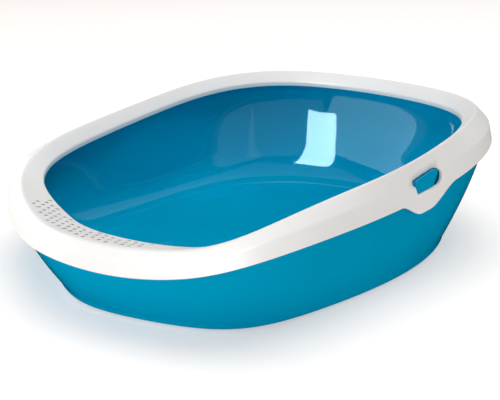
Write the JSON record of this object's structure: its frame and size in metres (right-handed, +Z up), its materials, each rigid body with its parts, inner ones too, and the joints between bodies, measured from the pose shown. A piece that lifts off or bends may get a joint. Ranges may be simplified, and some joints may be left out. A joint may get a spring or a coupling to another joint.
{
  "type": "litter tray",
  "caption": "Open pet litter tray: deep flared pan, low at the entry and high at the rear, with a clip-on rim that has an inner lip and a perforated entry ledge",
  "frame": {"origin": "middle of the footprint, on the surface the tray stands on", "axes": "+Z up, +Y from the low entry to the high rear, +X across to the side on the right when looking from the entry"},
  "size_m": [0.396, 0.519, 0.1465],
  "materials": {
    "pan": "glossy turquoise blue injection moulding",
    "rim": "satin warm white injection moulding",
    "catch": "glossy turquoise blue, as the pan"
  },
  "bodies": {
    "pan": {"pan": "pan"},
    "rim": {"rim": "rim"},
    "right_catch": {"right_catch": "catch"},
    "left_catch": {"left_catch": "catch"}
  },
  "joints": [
    {"name": "rim_lift", "type": "slide", "parent": "pan", "child": "rim", "axis": [0, 0, 1], "range_m": [0, 0.12], "deforming": ["right_catch", "left_catch"]},
    {"name": "right_catch_press", "type": "hinge", "parent": "pan", "child": "right_catch", "pos_m": [0.19113, 0.026, 0.092], "axis": [0, -1, 0], "range_deg": [0, 5], "stiffness_Nm_per_rad": 2.5},
    {"name": "left_catch_press", "type": "hinge", "parent": "pan", "child": "left_catch", "pos_m": [-0.19113, 0.026, 0.092], "axis": [0, 1, 0], "range_deg": [0, 5], "stiffness_Nm_per_rad": 2.5}
  ]
}
